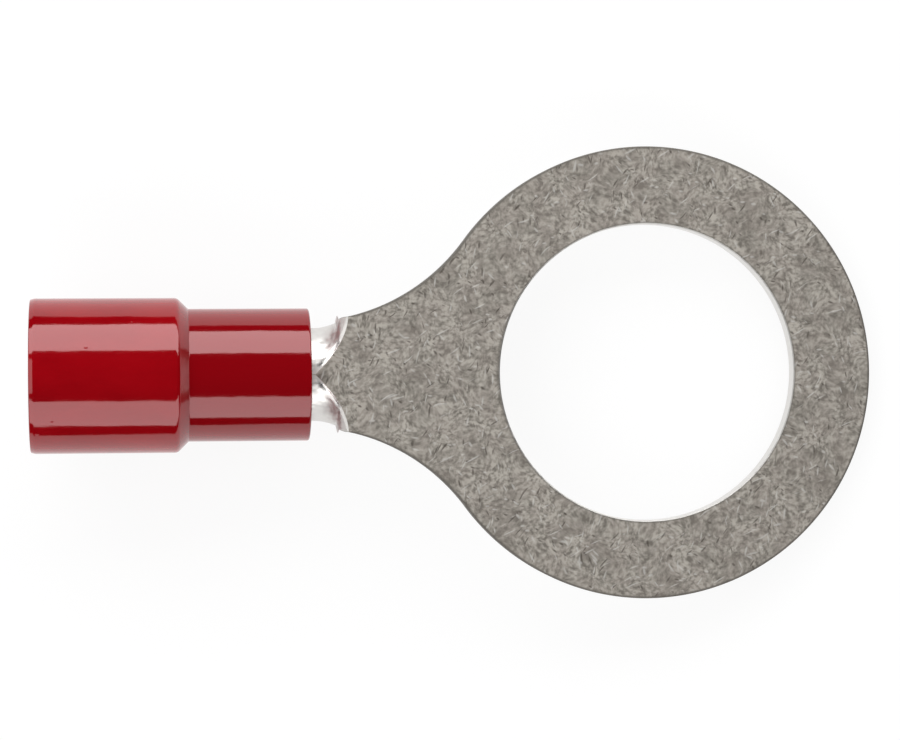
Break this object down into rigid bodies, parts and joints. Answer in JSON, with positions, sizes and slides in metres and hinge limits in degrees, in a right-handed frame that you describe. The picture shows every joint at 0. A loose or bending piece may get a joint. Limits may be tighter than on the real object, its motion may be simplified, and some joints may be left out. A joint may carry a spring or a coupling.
{
  "type": "ring terminal",
  "caption": "Insulated ring terminal: a flat metal ring tongue on a rolled wire barrel, with a stepped red plastic sleeve over the barrel.",
  "frame": {"origin": "on the axis of the stud hole, in the tongue's flush face", "axes": "+Z along the stud hole's axis, out of the flush face; +X from the wire's end towards the ring; the barrel hangs below the flush face with its seam down"},
  "size_m": [0.0297, 0.016, 0.0055],
  "materials": {
    "plated_copper": "tin-plated copper strip, tumbled dull, with fine random scratches and a brighter rolled neck",
    "red_plastic": "smooth glossy dark red vinyl"
  },
  "bodies": {
    "root": {"terminal": "plated_copper", "sleeve": "red_plastic"}
  },
  "joints": []
}
